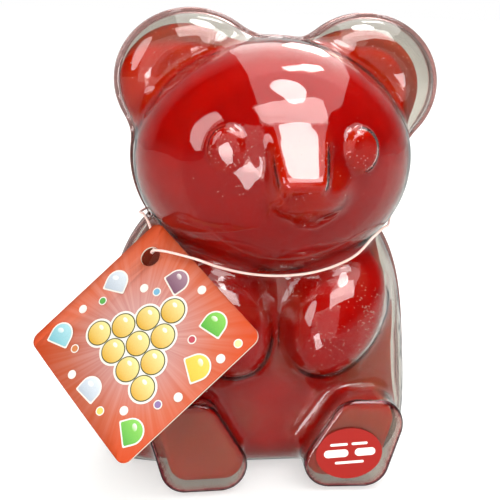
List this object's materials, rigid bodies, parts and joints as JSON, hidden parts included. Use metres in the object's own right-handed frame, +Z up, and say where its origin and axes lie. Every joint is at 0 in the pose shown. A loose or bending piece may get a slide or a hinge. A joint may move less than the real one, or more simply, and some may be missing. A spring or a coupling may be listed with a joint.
{
  "type": "gummy bear in a clear moulded shell",
  "caption": "Large red gummy bear shut in a clear bear-shaped plastic shell, with a square card tag on an elastic neck loop and an oval foot label.",
  "frame": {"origin": "on the flat face that the bear sits on, 3 mm to the bear's left of its middle", "axes": "+Z up, -Y the way the bear faces, +X the bear's left side"},
  "size_m": [0.1068, 0.0727, 0.1213],
  "materials": {
    "gummy": "soft, translucent, glossy gelatine",
    "shell": "clear, thin, polished thermoformed sheet",
    "card": "printed and coated card",
    "elastic": "thin round elastic",
    "label": "printed paper label"
  },
  "bodies": {
    "root": {"gummy_bear": "gummy", "shell_front": "shell", "shell_back": "shell", "hang_tag": "card", "tag_loop": "elastic", "foot_label": "label"}
  },
  "joints": []
}
